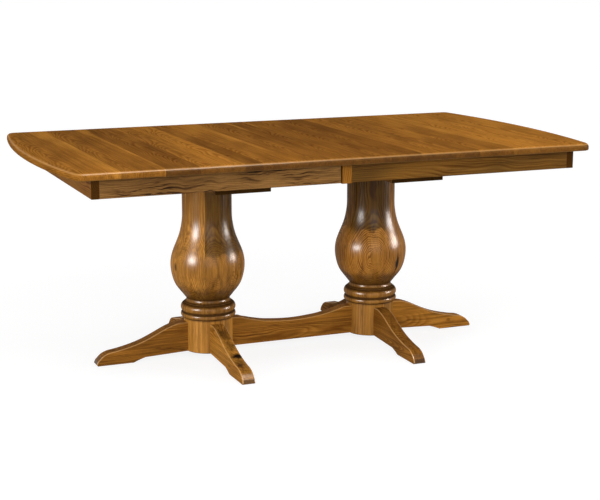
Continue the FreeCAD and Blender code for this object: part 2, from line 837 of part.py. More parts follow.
def lock_screws(way):
    """The screws of both plates on one half."""
    z = top_underside - lock_plate_thickness
    return [moved(screw(lock_screw), way * x, side * lock_y + y, z)
            for side in (-1, 1) for x, y in lock_screw_spots(lock_plate_setback)]


def lock_lever():
    """The lever, drawn latched along X from its pivot, then turned open."""
    reach = lock_pivot_setback + lock_pin_setback
    half = lock_lever_width / 2
    tip = reach + lock_pin_radius + lock_hook_wall
    arm = block((-lock_handle_length, -half, 0), (tip, half, lock_lever_thickness))
    arm = arm.fuse(rod(half, (-lock_handle_length, 0, 0), (-lock_handle_length, 0, lock_lever_thickness)))
    hook = block((tip - lock_hook_length, -lock_hook_drop, 0), (tip, half, lock_lever_thickness))
    slot = lock_pin_radius + lock_slot_play
    sweep = reach - math.sqrt(reach ** 2 - lock_hook_drop ** 2)
    mouth = block((reach - slot - sweep, -lock_hook_drop - overrun, -overrun),
                  (reach + slot, 0, lock_lever_thickness + overrun))
    seat = rod(slot, (reach, 0, -overrun), (reach, 0, lock_lever_thickness + overrun))
    bore = rod(lock_stud_radius + axle_running_gap, (0, 0, -overrun),
               (0, 0, lock_lever_thickness + overrun))
    lever = arm.fuse(hook).removeSplitter().cut(Part.makeCompound([mouth, seat, bore]))
    z = top_underside - lock_plate_thickness - lock_play - lock_lever_thickness
    return moved(lever, -lock_pivot_setback, -lock_y, z, lock_swing)


# Build and write every piece

def both_slides(shape):
    """A slide's piece at the front and at the rear."""
    return [moved(shape, 0, side * slide_offset, 0) for side in (-1, 1)]


def save_half(side, panel, setback, place):
    """Write the pieces that both halves have, moved to their half of the table."""
    front, back = ("front", "back") if side == "left" else ("back", "front")
    save(side + "_top_panel", panel)
    save(side + "_" + front + "_apron", place(long_apron(setback)))
    save(side + "_" + back + "_apron", place(mirrored_front(long_apron(setback))))
    save(side + "_end_apron", place(end_apron()))
    save(side + "_corner_blocks", place(corner_block()), place(mirrored_front(corner_block())))
    front_runner, rear_runner = both_slides(runner())
    if side == "right":
        front_runner, rear_runner = rear_runner, front_runner
    save(side + "_front_runner", place(front_runner))
    save(side + "_rear_runner", place(rear_runner))
    save(side + "_racks", *(place(one) for one in both_slides(rack())))
    save(side + "_slide_stops", *(place(one) for one in both_slides(slide_stop())))
    save(side + "_runner_screws", *(place(one) for one in runner_screws()))


def main():
    os.makedirs("parts", exist_ok=True)

    post = column()
    save("left_column", moved(post, -pedestal_x, 0, 0))
    save("right_column", moved(post, pedestal_x, 0, 0))
    one_foot, one_glide = foot(), glide()
    for name, x, turn in foot_places():
        save(name, moved(one_foot, x, 0, 0, turn))
    save("foot_glides", *(moved(one_glide, x, 0, 0, turn) for _, x, turn in foot_places()))
    save("stretcher", stretcher())
    save("joint_dowels", *joint_dowels())

    pedestals = (-pedestal_x, pedestal_x)
    for name, x in zip(("left_bearer", "right_bearer"), pedestals):
        save(name, bearer(x))
    save("tie_rods", *(tie_rod(x) for x in pedestals))
    save("tie_rod_washers", *(one for x in pedestals for one in washers(x)))
    save("tie_rod_nuts", *(one for x in pedestals for one in nuts(x)))
    save("bearer_screws", *(moved(one, x, 0, bearer_top) for x in pedestals
                            for one in bearer_screw_set(screw(bearer_screw))))
    save("rail_screws", *(moved(screw(rail_screw), px, py, column_top) for x in pedestals
                          for px, py in rail_screw_spots(x)))

    for name, shape in (("centre_rail", centre_rail()), ("pinion", pinion())):
        front, rear = both_slides(shape)
        save("front_" + name, front)
        save("rear_" + name, rear)
    save("pinion_axles", *both_slides(axle()))

    save_half("left", left_top_panel(), left_apron_setback, lambda shape: shape)
    save_half("right", right_top_panel(), right_apron_setback, half_turn)
    save("front_split_block", split_block())
    save("back_split_block", mirrored_front(split_block()))
    save("alignment_pins", *(alignment_pin(y) for y in pin_places()))

    save("lock_plates", lock_plate(), mirrored_front(lock_plate()))
    save("lock_plate_screws", *lock_screws(-1))
    save("lock_keepers", lock_keeper(), mirrored_front(lock_keeper()))
    save("lock_keeper_screws", *lock_screws(1))
    save("front_lock_lever", lock_lever())
    save("rear_lock_lever", mirrored_front(lock_lever()))


main()
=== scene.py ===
import math
from functools import partial

import bmesh
import bpy
from bpy.props import FloatProperty, FloatVectorProperty, PointerProperty
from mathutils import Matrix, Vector


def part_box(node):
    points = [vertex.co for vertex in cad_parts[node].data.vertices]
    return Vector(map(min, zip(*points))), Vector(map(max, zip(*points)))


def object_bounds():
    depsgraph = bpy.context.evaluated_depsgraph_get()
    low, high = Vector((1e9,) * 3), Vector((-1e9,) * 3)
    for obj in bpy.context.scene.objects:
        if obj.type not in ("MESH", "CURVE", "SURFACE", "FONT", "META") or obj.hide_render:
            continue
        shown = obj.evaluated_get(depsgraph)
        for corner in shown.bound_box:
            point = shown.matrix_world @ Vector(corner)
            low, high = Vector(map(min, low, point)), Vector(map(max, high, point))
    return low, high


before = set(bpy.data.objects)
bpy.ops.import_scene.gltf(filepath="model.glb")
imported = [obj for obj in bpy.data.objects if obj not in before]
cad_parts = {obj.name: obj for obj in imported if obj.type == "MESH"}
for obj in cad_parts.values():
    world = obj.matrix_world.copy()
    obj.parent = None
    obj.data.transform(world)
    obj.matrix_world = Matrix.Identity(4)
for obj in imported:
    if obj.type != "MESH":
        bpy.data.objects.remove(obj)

bl_info = {
    "name": "Double pedestal dining table",
    "version": (1, 0, 0),
    "blender": (4, 5, 0),
    "location": "3D View > Sidebar > Table",
    "description": "Stained hickory, slides, hardware and a studio for a double pedestal dining table",
    "category": "Object",
}

# Sizes of the CAD model, in metres
CAD_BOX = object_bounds()
TOP_LENGTH = CAD_BOX[1].x - CAD_BOX[0].x
TOP_LEVEL = CAD_BOX[1].z
APRON_FACE = abs(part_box("right_front_apron")[0].y)
APRON_MIDDLE = (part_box("right_front_apron")[0].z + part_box("right_front_apron")[1].z) / 2
END_APRON_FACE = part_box("right_end_apron")[1].x
COLUMN_PLACE = (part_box("right_column")[0].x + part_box("right_column")[1].x) / 2
BULB_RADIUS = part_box("right_column")[1].y
BEARER_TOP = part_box("right_bearer")[1].z
FOOT_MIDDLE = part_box("stretcher")[1].z / 2
FOOT_HALF_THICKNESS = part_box("stretcher")[1].y
MM = 1000.0              # the grain is worked out in millimetres

# Boards of the top, left to right: where each starts in mm, its tone from dark to light,
# how far the pith is from the board's middle, how deep it lies, and how much stain its ends took
TOP_BOARDS = (
    (-970, 0.54, -34, 52, 0.0), (-772, 0.40, -38, 46, 0.0), (-632, 0.14, 26, 60, 0.6),
    (-520, 0.46, 8, 72, 0.7), (-455, 0.76, 30, 66, 0.85), (-372, 0.20, -30, 60, 0.7),
    (-310, 0.52, -48, 58, 0.8), (-190, 0.34, 10, 48, 0.75), (-80, 0.18, 44, 70, 0.7),
    (0, 0.22, 30, 54, 0.75), (130, 0.18, -22, 46, 0.75), (252, 0.46, 16, 52, 0.9),
    (380, 0.36, -28, 66, 0.7), (470, 0.48, -52, 60, 0.6), (606, 0.88, 30, 70, 0.75),
    (655, 0.9, 4, 44, 0.75), (800, 0.74, -40, 62, 0.7),
)
# Staves of a column by direction in degrees: where each starts, its tone, where its figure is centred,
# and how dark its heartwood is
LEFT_STAVES = (
    (-158.0, 0.92, -178.0, 0.0), (-113.9, 0.58, -96.0, 0.85), (-69.4, 0.80, -54.0, 0.85),
    (-24.0, 0.50, 0.0, 0.30), (21.0, 0.30, 42.0, 0.60), (66.0, 0.60, 90.0, 0.10),
    (111.0, 0.40, 130.0, 0.50), (156.0, 1.0, 150.0, 0.0),
)
RIGHT_STAVES = (
    (-160.0, 0.98, -111.5, 1.0), (-66.0, 0.88, -30.0, 0.10), (20.0, 0.50, 66.0, 0.70),
    (110.0, 0.76, 166.0, 0.70),
)
FULL_TURN = 360.0
STAVE_DEPTH = 420.0      # from a column's axis out to the pith of its first stave
STAVE_STEP = 30.0        # how much further out the pith of the next stave lies
STAVE_STEPS = 3          # after so many staves the depths repeat
# Boards of the single pieces, for the left front, right front, left rear and right rear quarter:
# tone, how far the pith is from the board's middle, and how deep it lies
SIDE_APRON_BOARDS = ((0.32, -60, 46), (0.05, -40, 60), (0.35, 20, 52), (0.3, -40, 66))
END_APRON_BOARDS = ((0.55, 14, 42), (0.4, -22, 52)) * 2
SPLIT_BLOCK_BOARDS = ((0.62, 30, 40),) * 4
SIDE_FOOT_BOARDS = ((0.32, 30, 50), (1.0, -20, 46), (0.40, 30, 50), (0.55, -20, 46))
STRETCHER_BOARDS = ((0.62, -26, 44),) * 4
CROSS_FOOT_BOARDS = ((1.0, 40, 52), (0.22, -30, 48), (0.4, 10, 56), (0.35, -30, 50))
BEARER_BOARDS = ((0.1, 330, 60), (0.1, -320, 60)) * 2

# Knots, dark patches, filled cracks and painted shade: place and reach in mm, and how dark each is
LEFT_COLUMN_KNOTS = (
    ((-443.7, -26.9, 332.0), (7.0, 9.0, 15.0), 0.75),
    ((-423.7, -30.3, 448.0), (8.0, 12.0, 14.0), 0.65),
)
RIGHT_COLUMN_CRACKS = (
    ((373.0, -114.6, 294.0), (9.0, 9.0, 38.0), 1.0),
)
SIDE_FOOT_KNOTS = (
    ((566.0, -22.5, 76.0), (10.0, 12.0, 6.0), 0.5),
    ((640.0, -22.5, 35.0), (8.0, 10.0, 5.0), 0.5),
)
CROSS_FOOT_KNOTS_AND_SHADE = (
    ((-308.0, -284.0, 64.0), (27.0, 17.0, 15.0), 1.0),
    ((-322.0, -345.0, 48.0), (11.0, 20.0, 10.0), 0.8),
    # the last four are painted shade along the top face of the left front foot, which lies in the table's
    # shadow
    ((-318.0, -160.0, 110.0), (19.0, 50.0, 16.0), 0.62),
    ((-316.0, -235.0, 86.0), (17.0, 45.0, 13.0), 0.46),
    ((-316.0, -332.0, 52.0), (17.0, 50.0, 12.0), 0.54),
    ((-318.0, -385.0, 38.0), (20.0, 24.0, 14.0), 0.42),
)
KNOT_LUMPS = 1.3         # lumps in a knot's outline, to each reach of it
KNOT_RAGGED = 1.2        # how far the lumps push the outline, in reaches
KNOT_RIM = (2.0, 1.0)    # where a knot begins and where it is full, in reaches with the lumps added
KNOT_PUSH = 1.5          # by how many growth rings a knot pushes the figure aside

# Painted shade in the turned grooves of a column and at its waist, where shade falls, with some stain
# gathered there too: levels in mm, and how dark it is painted there.
# Up to the hub's second level each column has a share of its own
HUB_LEVELS = (100, 134)
PAINTED_HOLLOW_SHADE = (
    (141, 0.66), (148, 0.38), (156, 0.38), (163, 0.82), (170, 0.38), (188, 0.38), (196, 0.76),
    (201, 0.44), (209, 0.72), (236, 0.0),
)
# Wear and painted highlight on a rounded edge, by how far its face turns to the given side: the pale colour
# is fullest about where the edge catches the highlight of the softbox above the front
FOOT_WEAR_AND_HIGHLIGHT = ((0.0, 0.0), (0.12, 0.0), (0.3, 1.0), (0.8, 1.0), (0.97, 0.0))
TOP_WEAR_AND_HIGHLIGHT = ((0.0, 0.0), (0.5, 0.05), (0.63, 0.6), (0.76, 0.6), (0.88, 0.12), (0.97, 0.0))
# the pale edge colour stands for rubbed stain and for a painted highlight along the edge
WORN_AND_HIGHLIGHT_SHARE = 0.5         # of the worn edge's colour where it is most worn

# How dark a growth ring's line is through the year
HICKORY_YEAR = ((0.0, 1.0), (0.20, 0.7), (0.46, 0.16), (0.72, 0.0), (1.0, 1.0))
MAPLE_YEAR = ((0.0, 0.8), (0.25, 0.2), (0.8, 0.0), (1.0, 0.8))
UNEVEN_YEARS = 1.6       # by how many rings' width rings crowd and spread
UNEVEN_PACE = 0.35       # how quickly that changes from ring to ring
BOARD_SHIFT = 53.0       # how far a board's figure moves in the noise, for each mm of its pith's depth
SWAY_LENGTH = 110.0      # length in mm of a sway in wild grain
BULB_SPACING = 1.5       # how far apart a bulb's rings are drawn
HUB_FADE = (215.0, 245.0, 0.4)      # levels between which lines fade to the hub, and what is left of them
CLUSTERS = 1.7           # patches of strong line and of streaks, to each wander of the rings
LINE_PATCHES = (0.35, 0.65, 0.4)    # where in the clusters' noise lines darken, and their share elsewhere
STREAK_PATCHES = (0.4, 0.58, 0.15)  # the same for streaks
CLOUDS = 0.9             # clouds of tone within a board, to each wander of the rings
CLOUD_CONTRAST = 0.24    # how far they take the tone up or down
PORE_LIMITS = (0.60, 0.72)          # where in the noise a pore begins and is fully open
PORE_SHARE = 0.3         # of the dark that gathers in open pores
STREAK_FADE = 0.16       # how softly a mineral streak ends
SAPWOOD_SHARE = 0.5      # of the sapwood's colour outside the heartwood
SAPWOOD_RIM = (-5.0, 8.0)           # where sapwood begins and is full, in mm from the heartwood's end
# Dark heartwood of a column, in mm: half the width of the tongue that it has down each stave, how the
# tongue moves its limit at the middle and beside, and how softly the limit ends
CORE_TONGUE = (38.0, -12.0, 4.0)
CORE_RIM = 2.0
CORE_FADE = 14.0
CORE_LEVELS = (310.0, 370.0)        # it is gone below the first level, and full above the second
# Pith of the maple: how far it runs askew, and how deep it lies in mm
MAPLE_TILT = 0.02
MAPLE_DEPTH = 140.0

# Satin lacquer
SATIN_ROUGHNESS = 0.42
SATIN_SPREAD = 0.07
LACQUER_ROUGHNESS = 0.27
LACQUER_IOR = 1.6
DUST = (0.5, 0.78, 0.01)            # how far a face turns up where dust begins and is full, and the coat left
LINE_RELIEF = -0.5       # how far lines and open pores sink below the fibres
PORE_RELIEF = -0.6
GRAIN_RELIEF = 0.0004    # height in metres of the grain under a bump of 1
SMOOTH_RELIEF = 0.0002   # the same for metal and nylon

# Figures of metal and nylon, in mm. The grit is drawn coarser than nylon's so that it shows
SPANGLE = 6.0
ZINC_CLOUD = 20.0
NYLON_GRIT = 1.2
NYLON_CLOUD = 15.0
NYLON_IOR = 1.53

# Stage: the picture's frame, the camera's turn down and to the right, and the floor and surroundings
PICTURE_WIDTH = 600
SENSOR = 36.0
FAR_LIMIT = 200.0
CAMERA_DIP = 0.2079
CAMERA_SWING = 0.39013
FLOOR_SIDES = 96
WHITE = "#FFFFFF"
FLOOR_PAINT = "#868686"
FLOOR_BOUNCE = "#898989"
FLOOR_GLOW = 0.84
SURROUNDING_LIGHT = 0.30
# Broad lamps, one from each side: the way each shines, its level, its spread in degrees,
# and whether the lacquer mirrors it
LAMPS = (
    ("left_lamp", (0.92, 0.32, -0.16), 0.64, 30.0, True),
    ("right_lamp", (-0.85, 0.45, -0.25), 0.36, 30.0, True),
    ("front_lamp", (0.15, 0.95, -0.20), 0.50, 40.0, True),
    ("rear_lamp", (-0.2, -0.95, -0.22), 0.38, 40.0, False),
)
# Softboxes: place, size and level, and what each is for: bright spots on the columns alone,
# a soft sheen on all lacquer, or light on the wood from above the front
SOFTBOXES = (
    ("left_softbox", (-8.65, -3.15, 2.6), (3.4, 2.4), 140.0, "columns"),
    ("right_softbox", (2.4, -1.02, 0.94), (0.9, 0.6), 110.0, "columns"),
    ("top_softbox", (-0.25, -1.7, 3.5), (2.3, 1.6), 40.0, "lacquer"),
    ("overhead_bank", (0.0, -1.0, 1.9), (4.4, 0.5), 3.3, "wood"),
)
SOFTBOX_AIM = (0.0, 0.0, 0.4)


def linear(code):
    """An sRGB hex colour as linear red, green and blue."""
    shares = [int(code[at:at + 2], 16) / 255 for at in (1, 3, 5)]
    return tuple(s / 12.92 if s <= 0.04045 else ((s + 0.055) / 1.055) ** 2.4 for s in shares)


def solid(colour):
    """A colour with full alpha, as sockets take it."""
    return (*colour, 1.0)


def greys(rows):
    """Ramp stops in grey, from rows of place and share."""
    return [(place, (share,) * 3) for place, share in rows]


def add_node(tree, kind, inputs=None, stops=None, steps=False, **settings):
    """One shader node with its settings, its ramp's stops, and the values or links of its inputs.

    Inputs go by name or number. Those of a Map Range are its value, the limits it comes from and the
    limits it goes to, 0 to 4. A Mix has its share at 0 and its colours at 6 and 7, and output 2."""
    node = tree.nodes.new("ShaderNode" + kind)
    for key, value in settings.items():
        setattr(node, key, value)
    if stops:
        ramp = node.color_ramp
        ramp.interpolation = "CONSTANT" if steps else "LINEAR"
        while len(ramp.elements) < len(stops):
            ramp.elements.new(1.0)
        for element, (position, colour) in zip(ramp.elements, stops):
            element.position = position
            element.color = (*colour, 1.0)[:4]
    for key, value in (inputs or {}).items():
        if isinstance(value, bpy.types.Node):
            value = value.outputs[0]
        if isinstance(value, bpy.types.NodeSocket):
            tree.links.new(value, node.inputs[key])
        else:
            node.inputs[key].default_value = value
    return node


def new_material(name):
    """An empty node material, and what adds nodes to it."""
    material = bpy.data.materials.new(name)
    material.use_nodes = True
    material.node_tree.nodes.clear()
    return material, partial(add_node, material.node_tree)


def colour_property(name, description, code):
    """A colour that a user may change."""
    return FloatVectorProperty(name=name, description=description, default=linear(code),
                               subtype="COLOR", size=3, min=0.0, max=1.0)


def length_property(name, description, default):
    """A length that a user may change, in metres."""
    return FloatProperty(name=name, description=description, default=default, unit="LENGTH", min=0.0)


class TableColours(bpy.types.PropertyGroup):
    """Colours of the stained wood, the slides and the hardware."""
    light_board: colour_property("Light board", "Stained hickory at its lightest", "#AB722B")
    dark_board: colour_property("Dark board", "Stained hickory at its darkest", "#724819")
    light_stave: colour_property("Light stave", "Column staves and cross feet at their lightest", "#B47C33")
    light_apron: colour_property("Light apron", "Left-hand aprons at their lightest", "#AF854D")
    dark_apron: colour_property("Dark apron", "Left-hand aprons at their darkest", "#7E582F")
    brown_apron: colour_property("Brown apron", "Right-hand aprons at their darkest", "#67481F")
    sapwood: colour_property("Sapwood", "Pale outer wood along some edges", "#B98034")
    latewood: colour_property("Latewood", "What a growth ring's dark line multiplies the board by", "#B39C7E")
    # also the colour laid on as painted shade in the columns' turned grooves and at the waist
    mineral: colour_property("Mineral streak", "Dark streaks of rustic boards", "#33200F")
    # near-black stain on the bearers, a painted shade for the shadow they lie in under the top
    core: colour_property("Column core", "Dark heartwood near the middle of a column", "#624310")
    bearer: colour_property("Bearer", "Dark stain on the bearers", "#3A2612")
    # pale colour of stain rubbed thin on rounded edges, laid on also as a painted highlight along them
    edge: colour_property("Worn edge", "Stain rubbed thin along rounded edges", "#D2A05E")
    # also the colour of the painted shade along the top of the left front foot
    knot: colour_property("Knot", "Middle of a knot or a filled crack", "#1D1209")
    # on the columns this darkening reaches round the turned faces and also paints shade on the beads and
    # waist
    end_grain: colour_property("End grain", "What cut ends multiply the board by", "#8E8A74")
    maple: colour_property("Maple", "Waxed maple of the slides", "#C79A5E")
    maple_line: colour_property("Maple line", "Growth lines of the maple", "#A87A45")
    birch: colour_property("Birch", "Raw birch of the dowels", "#D3B483")
    zinc: colour_property("Zinc", "Zinc plate on steel", "#B7BABD")
    nylon: colour_property("Nylon", "Moulded nylon", "#E2DECF")


class TableGrain(bpy.types.PropertyGroup):
    """Sizes of the wood's figure. Fibres and pores are drawn coarser than wood's, so that they show."""
    ring: length_property("Growth ring", "Width of one year's growth", 0.0042)
    wander: length_property("Wander", "How far the rings wander along a board", 0.011)
    wander_across: length_property("Wander width", "Size of a wander across the grain", 0.12)
    wander_along: length_property("Wander length", "Size of a wander along the grain", 0.36)
    fibre: length_property("Fibre", "Width of a fibre streak", 0.0032)
    fibre_along: length_property("Fibre length", "Length of a fibre streak", 0.085)
    pore: length_property("Pore", "Width of an open pore", 0.0011)
    pore_along: length_property("Pore length", "Length of an open pore", 0.012)
    streak: length_property("Streak", "Width of a mineral streak", 0.017)
    streak_along: length_property("Streak length", "Length of a mineral streak", 0.24)
    band: length_property("Band", "Width of a band of tone along the grain", 0.011)
    band_along: length_property("Band length", "Length of a band of tone", 0.42)
    heart: length_property("Heartwood", "How far the heartwood reaches from the pith", 0.112)
    left_core: length_property("Left core", "Radius of the dark heartwood in the left column", 0.117)
    right_core: length_property("Right core", "Radius of the dark heartwood in the right column", 0.1)


class TableStudio(bpy.types.PropertyGroup):
    """Camera and floor."""
    camera_place: FloatVectorProperty(
        name="Camera", description="Where the camera stands",
        default=(-1.89407, -4.69407, 1.42085), subtype="TRANSLATION", unit="LENGTH")
    camera_turn: FloatVectorProperty(
        name="Camera turn", description="Which way the camera looks",
        default=(math.pi / 2 - CAMERA_DIP, 0.0, -CAMERA_SWING), subtype="EULER", unit="ROTATION")
    focus_pixels: FloatProperty(
        name="Focal length", description="Focal length in pixels of the picture",
        default=1427.05, min=1.0)
    floor_reach: length_property("Floor", "Radius of the floor", 60.0)


GROUPS = {"table_colours": TableColours, "table_grain": TableGrain, "table_studio": TableStudio}


def board_ramp(add, place, boards):
    """What a board's place says of it: the pith's place across and its depth, its tone, and one more share.

    That share is the dark heartwood of a column's stave, or the stain in the ends of a board of the top."""
    stops = [(start, (across, depth, tone, share)) for start, across, depth, tone, share in boards]
    ramp = add("ValToRGB", {0: place}, stops=stops, steps=True)
    told = add("SeparateColor", {0: ramp})
    return (*told.outputs, ramp.outputs["Alpha"])


# The next three lay boards. Each gives how far a place is across, through and along the grain, the pith's
# depth, the tone, what a turned piece needs besides, and how much stain the cut ends take
def boards_across(add, mm):
    """Crosswise boards of the top, edge to edge along X."""
    reach = TOP_LENGTH * MM
    spot = add("SeparateXYZ", {0: mm})
    place = add("MapRange", {0: spot.outputs["X"], 1: -reach / 2, 2: reach / 2})
    starts = [row[0] for row in TOP_BOARDS] + [reach / 2]
    boards = []
    for (start, tone, off, depth, soaked), end in zip(TOP_BOARDS, starts[1:]):
        pith = (start + end) / 2 + off
        boards.append((max(0.0, start / reach + 0.5), pith / reach + 0.5, depth / MM, tone, soaked))
    pith, depth, tone, soaked = board_ramp(add, place, boards)
    pith = add("MapRange", {0: pith, 3: -reach / 2, 4: reach / 2})
    across = add("Math", {0: spot.outputs["X"], 1: pith}, operation="SUBTRACT")
    through = add("Math", {0: spot.outputs["Z"], 1: TOP_LEVEL * MM}, operation="SUBTRACT")
    return across, through, spot.outputs["Y"], depth, tone, None, soaked


def staves_around(centre, staves, reach, add, mm):
    """Upright staves round a column that stands at centre along X, with dark heartwood out to reach."""
    first = staves[0][0]
    moved = add("VectorMath", {0: mm, 1: (centre * MM, 0.0, 0.0)}, operation="SUBTRACT")
    spot = add("SeparateXYZ", {0: moved})
    angle = add("Math", {0: spot.outputs["Y"], 1: spot.outputs["X"]}, operation="ARCTAN2")
    angle = add("Math", {0: angle, 1: math.radians(first)}, operation="SUBTRACT")
    place = add("Math", {0: add("Math", {0: angle, 1: math.tau}, operation="DIVIDE")}, operation="FRACT")
    boards = []
    for at, (start, tone, figure, core) in enumerate(staves):
        depth = STAVE_DEPTH + STAVE_STEP * (at % STAVE_STEPS)
        boards.append(((start - first) / FULL_TURN, (figure - first) / FULL_TURN, depth / MM, tone, core))
    pith, depth, tone, core = board_ramp(add, place, boards)
    back = add("MapRange", {0: pith, 3: -math.radians(first), 4: -math.radians(first + FULL_TURN)})
    faced = add("VectorRotate", {"Vector": moved, "Angle": back}, rotation_type="Z_AXIS")
    faced = add("SeparateXYZ", {0: faced})
    plan = add("CombineXYZ", {0: spot.outputs["X"], 1: spot.outputs["Y"]})
    girth = add("VectorMath", {0: plan}, operation="LENGTH").outputs["Value"]
    through = add("Math", {0: faced.outputs["X"], 1: -1.0}, operation="MULTIPLY")
    return faced.outputs["Y"], through, faced.outputs["Z"], depth, tone, (girth, core, reach * MM), 1.0


def single_boards(axes, middle, face, boards, add, mm):
    """One board to each quarter of the plan. axes names those across, through and along the grain.

    middle is the boards' middle across the grain, and face is how far out their faces are, in metres."""
    spot = add("SeparateXYZ", {0: mm})
    right = add("Math", {0: spot.outputs["X"], 1: 0.0}, operation="GREATER_THAN")
    rear = add("Math", {0: spot.outputs["Y"], 1: 0.0}, operation="GREATER_THAN")
    quarter = 1 / len(boards)
    place = add("Math", {0: right, 1: quarter, 2: quarter / 2}, operation="MULTIPLY_ADD")
    place = add("Math", {0: rear, 1: 2 * quarter, 2: place}, operation="MULTIPLY_ADD")
    rows = [(at * quarter, off / MM + 0.5, depth / MM, tone, 0.0)
            for at, (tone, off, depth) in enumerate(boards)]
    pith, depth, tone, _ = board_ramp(add, place, rows)
    pith = add("MapRange", {0: pith, 3: (middle - 0.5) * MM, 4: (middle + 0.5) * MM})
    across = add("Math", {0: spot.outputs[axes[0]], 1: pith}, operation="SUBTRACT")
    through = add("Math", {0: spot.outputs[axes[1]]}, operation="ABSOLUTE")
    through = add("Math", {0: through, 1: face * MM}, operation="SUBTRACT")
    return across, through, spot.outputs[axes[2]], depth, tone, None, 1.0


def stretched(add, place, width, length):
    """A place in mm, counted in a figure's width across the grain and its length along it in metres."""
    scale = (1 / (width * MM), 1 / (width * MM), 1 / (length * MM))
    return add("VectorMath", {0: place, 1: scale}, operation="MULTIPLY")


def knot_and_shade_darkness(add, mm, knots_and_shade):
    """How dark each knot, crack and patch of painted shade makes a place, or None where there are none."""
    dark = None
    begins, full = KNOT_RIM
    for where, reach, share in knots_and_shade:
        off = add("VectorMath", {0: mm, 1: where}, operation="SUBTRACT")
        off = add("VectorMath", {0: off, 1: reach}, operation="DIVIDE")
        far = add("VectorMath", {0: off}, operation="LENGTH").outputs["Value"]
        lumps = add("TexNoise", {"Vector": off, "Scale": KNOT_LUMPS, "Detail": 2.0})
        far = add("Math", {0: lumps, 1: KNOT_RAGGED, 2: far}, operation="MULTIPLY_ADD")
        near = add("MapRange", {0: far, 1: begins, 2: full, 4: share}, interpolation_type="SMOOTHSTEP")
        dark = near if dark is None else add("Math", {0: dark, 1: near}, operation="MAXIMUM")
    return dark


def core_share(add, turning, out, across, along, drift):
    """How much of a column's dark heartwood a place shows.

    out is how far from the column's axis the place's growth ring lies."""
    girth, share, reach = turning
    half, at_middle, beside = CORE_TONGUE
    aside = add("Math", {0: across}, operation="ABSOLUTE")
    tongue = add("MapRange", {0: aside, 1: 0.0, 2: half, 3: at_middle, 4: beside})
    out = add("Math", {0: out, 1: tongue}, operation="ADD")
    girth = add("Math", {0: girth, 1: drift}, operation="ADD")
    for value, begins, full in ((out, reach + CORE_RIM, reach - CORE_RIM), (girth, reach + CORE_FADE, reach),
                                (along, *CORE_LEVELS)):
        inside = add("MapRange", {0: value, 1: begins, 2: full}, interpolation_type="SMOOTHSTEP")
        share = add("Math", {0: share, 1: inside}, operation="MULTIPLY")
    return share


